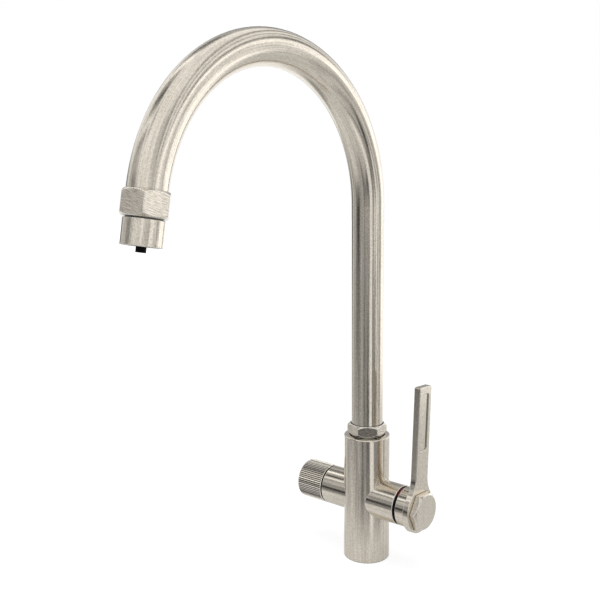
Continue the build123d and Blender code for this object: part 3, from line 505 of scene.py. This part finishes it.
# Upright cards: azimuth, half width, soft edge, lowest and highest elevation, brightness
STUDIO_CARDS = (
    (180, 40, 12, -45, 90, 1.15),  # the white background
    (-163, 9, 5, -12, 20, 0.45),
    (-143, 9, 5, -12, 8, 0.08),
    (-141, 5, 4, -22, -12, 0.35),
    (-126, 6, 4, -40, 8, 0.75),
    (-106, 6, 5, -40, 25, 0.55),
    (-84, 12, 6, -20, -9, 0.24),
    (-92, 9, 5, 14, 30, 0.38),
    (-57, 6, 4, 40, 60, 0.6),
    (-44, 10, 6, -40, 0, 0.46),
    (-27, 5, 3, -40, -5, 0.2),
    (28, 14, 8, 8, 46, 0.66),
    (20, 9, 2, -60, 2, 1.0),
    (43, 4, 2, -60, -3, 0.27),
    (57, 6, 2, 12, 40, 0.8),
    (66, 10, 3, -17, 12, 1.05),
    (-56, 9, 5, 5, 20, 0.6),
    (5, 5, 3, 3, 14, 1.2),
    (0, 7, 3, -23, -13, 0.08),
    (60, 9, 3, -30, -17, 0.05),
    (70, 4, 2, -60, -3, 0.4),
    (80, 4, 2, -60, 40, 0.85),
    (90, 3, 2, -60, -3, 0.42),
    (97, 4, 2, -60, 40, 0.85),
    (122, 20, 3, -17, 24, 1.5),
    (118, 22, 3, -60, -17, 0.72),
    (130, 16, 6, 24, 44, 0.33),
)
# Upper halves of rings round a level direction on the right: radius, half width, soft edge, brightness
RING_MIDDLE = 98.0  # azimuth
RING_LOWEST = 12.0  # elevation where they start
RING_SOFT = 6.0
STUDIO_RINGS = (
    (25, 5, 2, 1.3),
    (36, 3, 2, 0.25),
    (46, 3, 2, 1.1),
    (51, 2, 1, 0.4),
    (57, 3, 2, 1.1),
    (64, 3, 2, 0.4),
)
# One long tube lamp: the azimuth and elevation that it lies square to, half width, soft edge,
# brightness, and the azimuths that it runs between
LAMP_POLE = (-40.7, 58.7)
LAMP_BAND = (2.5, 2.0, 1.6)
LAMP_SPAN = (40, 98)
# Long cards parallel to the branches, seen on the left: angle round the branches' axis, half width,
# soft edge, brightness
BEAM_REACH = (-0.85, -0.68, -0.42, -0.3)  # share of the direction along x where they fade in and out
STUDIO_BEAMS = (
    (-110, 12, 6, 0.35),
    (-60, 34, 8, 0.85),
    (-3, 7, 2, 0.04),
    (12, 7, 3, 0.36),
    (21, 3, 2, 0.22),
    (32, 6, 2, 0.6),
    (44, 4, 2, 0.28),
    (53, 3, 1, 1.3),
    (61, 3, 1, 0.5),
    (70, 6, 1, 0.1),
    (82, 4, 2, 0.3),
    (94, 3, 1, 1.8),
    (106, 5, 1, 0.25),
    (117, 5, 1, 0.1),
    (131, 7, 3, 0.5),
    (148, 10, 4, 0.3),
    (168, 10, 4, 0.4),
)


def studio(graph):
    """Brightness of the studio in each direction."""
    a = math.radians(CAMERA_AZIMUTH)
    coordinates = graph.add("ShaderNodeTexCoord")
    split = graph.add("ShaderNodeSeparateXYZ")
    graph.feed(split.inputs[0], coordinates.outputs["Generated"])
    x, y, z = split.outputs

    def angle_to(azimuth, elevation):
        """Angle between each direction and a fixed one."""
        turn = math.radians(azimuth) + a
        rise = math.radians(elevation)
        fixed = (math.sin(turn) * math.cos(rise), -math.cos(turn) * math.cos(rise), math.sin(rise))
        total = 0.0
        for socket, number in zip((x, y, z), fixed):
            total = graph.math("ADD", total, graph.math("MULTIPLY", socket, number))
        return graph.math("DEGREES", graph.math("ARCCOSINE", total))

    def band(angle, centre, half, soft):
        """1 where the angle is within half of the centre, with a soft edge."""
        away = graph.math("ABSOLUTE", graph.math("SUBTRACT", angle, centre))
        return graph.spread(away, half + soft, half - soft)

    def lay(value, brightness, *masks):
        """The value, changed to the brightness where all the masks are 1."""
        mask = masks[0]
        for other in masks[1:]:
            mask = graph.math("MULTIPLY", mask, other)
        change = graph.math("MULTIPLY", graph.math("SUBTRACT", brightness, value), mask)
        return graph.math("ADD", value, change)

    near = graph.weigh(x, math.sin(a), y, -math.cos(a))
    side = graph.weigh(x, math.cos(a), y, math.sin(a))
    azimuth = graph.math("DEGREES", graph.math("ARCTAN2", side, near))
    elevation = graph.math("DEGREES", graph.math("ARCSINE", z))
    value = STUDIO_BASE[0][1]
    for (low, low_value), (high, high_value) in zip(STUDIO_BASE, STUDIO_BASE[1:]):
        value = graph.math("ADD", value, graph.spread(elevation, low, high, 0.0, high_value - low_value))
    for centre, half, soft, low, high, brightness in STUDIO_CARDS:
        turn = graph.math("WRAP", graph.math("SUBTRACT", azimuth, centre), 180.0, -180.0)
        value = lay(
            value,
            brightness,
            band(turn, 0.0, half, soft),
            graph.spread(elevation, low - soft, low + soft),
            graph.spread(elevation, high + soft, high - soft),
        )
    radius = angle_to(RING_MIDDLE, 0.0)
    upper_half = graph.spread(elevation, RING_LOWEST, RING_LOWEST + RING_SOFT)
    for centre, half, soft, brightness in STUDIO_RINGS:
        value = lay(value, brightness, band(radius, centre, half, soft), upper_half)
    half, soft, brightness = LAMP_BAND
    first, last = LAMP_SPAN
    value = lay(
        value,
        brightness,
        band(angle_to(*LAMP_POLE), 90.0, half, soft),
        band(azimuth, (first + last) / 2, (last - first) / 2, soft),
    )
    far_out, far_in, near_in, near_out = BEAM_REACH
    beside = graph.math("MULTIPLY", graph.spread(x, far_out, far_in), graph.spread(x, near_out, near_in))
    round_branch = graph.math("DEGREES", graph.math("ARCTAN2", z, graph.math("MULTIPLY", y, -1.0)))
    for centre, half, soft, brightness in STUDIO_BEAMS:
        value = lay(value, brightness, band(round_branch, centre, half, soft), beside)
    return value


PLAIN_LIGHT = 0.6  # brightness of the world for what isn't mirrored


def light_path(graph):
    """1 for the camera's own view, and 1 for what metal mirrors or glass lets through."""
    path = graph.add("ShaderNodeLightPath")
    both = graph.math("ADD", path.outputs["Is Glossy Ray"], path.outputs["Is Transmission Ray"])
    return path.outputs["Is Camera Ray"], graph.math("MINIMUM", both, 1.0)


def make_world():
    """White for the camera, the studio in reflections and plain light for the rest."""
    world = bpy.data.worlds.new("studio")
    bpy.context.scene.world = world
    world.use_nodes = True
    graph = Graph(world.node_tree)
    seen, mirrored = light_path(graph)
    strength = graph.weigh(studio(graph), mirrored, PLAIN_LIGHT, graph.opposite(mirrored))
    strength = graph.weigh(strength, graph.opposite(seen), 1.0, seen)
    background = graph.add("ShaderNodeBackground")
    background.inputs["Color"].default_value = (1.0, 1.0, 1.0, 1.0)
    graph.feed(background.inputs["Strength"], strength)
    output = graph.add("ShaderNodeOutputWorld")
    graph.feed(output.inputs["Surface"], background.outputs[0])


# Floor
FLOOR_HALF = 3.0
FLOOR_COLOUR = (0.3, 0.3, 0.3, 1.0)
FLOOR_FADE = (0.05, 0.16)  # distances over which reflections pass from the floor to the studio
FLOOR_GLOW = (0.4, 1.2, 0.8, 1.0)  # the camera sees it darker near the object, so the shadow shows
FLOOR_MIRRORED = 0.5


def floor_material():
    material = bpy.data.materials.new("floor")
    material.use_nodes = True
    graph = Graph(material.node_tree)
    seen, mirrored = light_path(graph)
    x, y = graph.place()[:2]
    distance = graph.distance(x, y)
    diffuse = graph.add("ShaderNodeBsdfDiffuse")
    diffuse.inputs["Color"].default_value = FLOOR_COLOUR
    glow = graph.add("ShaderNodeEmission")
    strength = graph.weigh(seen, graph.spread(distance, *FLOOR_GLOW), mirrored, FLOOR_MIRRORED)
    graph.feed(glow.inputs["Strength"], strength)
    both = graph.add("ShaderNodeAddShader")
    graph.feed(both.inputs[0], diffuse.outputs[0])
    graph.feed(both.inputs[1], glow.outputs[0])
    clear = graph.add("ShaderNodeBsdfTransparent")
    shown = graph.add("ShaderNodeMixShader")
    graph.feed(shown.inputs[0], graph.math("MULTIPLY", graph.spread(distance, *FLOOR_FADE), mirrored))
    graph.feed(shown.inputs[1], both.outputs[0])
    graph.feed(shown.inputs[2], clear.outputs[0])
    output = graph.add("ShaderNodeOutputMaterial")
    graph.feed(output.inputs["Surface"], shown.outputs[0])
    return material


def make_floor():
    corners = [(x * FLOOR_HALF, y * FLOOR_HALF, 0) for x, y in ((-1, -1), (1, -1), (1, 1), (-1, 1))]
    mesh = bpy.data.meshes.new("floor")
    mesh.from_pydata(corners, [], [(0, 1, 2, 3)])
    mesh.materials.append(floor_material())
    floor = bpy.data.objects.new("floor", mesh)
    bpy.context.scene.collection.objects.link(floor)


# Top lamp
TOP_LAMP_PLACE = (0.2, -0.3, 1.6)
TOP_LAMP_AIM = (0, -0.05, 0.2)
TOP_LAMP_SIZE = 1.2
TOP_LAMP_POWER = 14


def make_top_lamp():
    """Soft square lamp, which the metal doesn't mirror."""
    data = bpy.data.lights.new("top", "AREA")
    data.shape = "SQUARE"
    data.size = TOP_LAMP_SIZE
    data.energy = TOP_LAMP_POWER
    lamp = bpy.data.objects.new("top", data)
    bpy.context.scene.collection.objects.link(lamp)
    lamp.location = TOP_LAMP_PLACE
    direction = Vector(TOP_LAMP_AIM) - Vector(TOP_LAMP_PLACE)
    lamp.rotation_mode = "QUATERNION"
    lamp.rotation_quaternion = direction.to_track_quat("-Z", "Y")
    lamp.visible_glossy = False


def make_camera():
    data = bpy.data.cameras.new("camera")
    data.sensor_width = SENSOR_WIDTH
    data.lens = FOCAL_PIXELS * SENSOR_WIDTH / PICTURE_PIXELS
    camera = bpy.data.objects.new("camera", data)
    bpy.context.scene.collection.objects.link(camera)
    a = math.radians(CAMERA_AZIMUTH)
    e = math.radians(CAMERA_ELEVATION)
    back = Vector((math.sin(a) * math.cos(e), -math.cos(a) * math.cos(e), math.sin(e)))
    level = (-back).cross(Vector((0, 0, 1))).normalized()
    upright = level.cross(-back)
    roll = math.radians(CAMERA_ROLL)
    right = level * math.cos(roll) + upright * math.sin(roll)
    up = upright * math.cos(roll) - level * math.sin(roll)
    turn = Matrix((right, up, back)).transposed()
    camera.matrix_world = Matrix.Translation(CAMERA_PLACE) @ turn.to_4x4()
    bpy.context.scene.camera = camera


make_world()
make_floor()
make_top_lamp()
make_camera()
bpy.context.scene.view_settings.view_transform = "Standard"

bpy.context.view_layer.update()
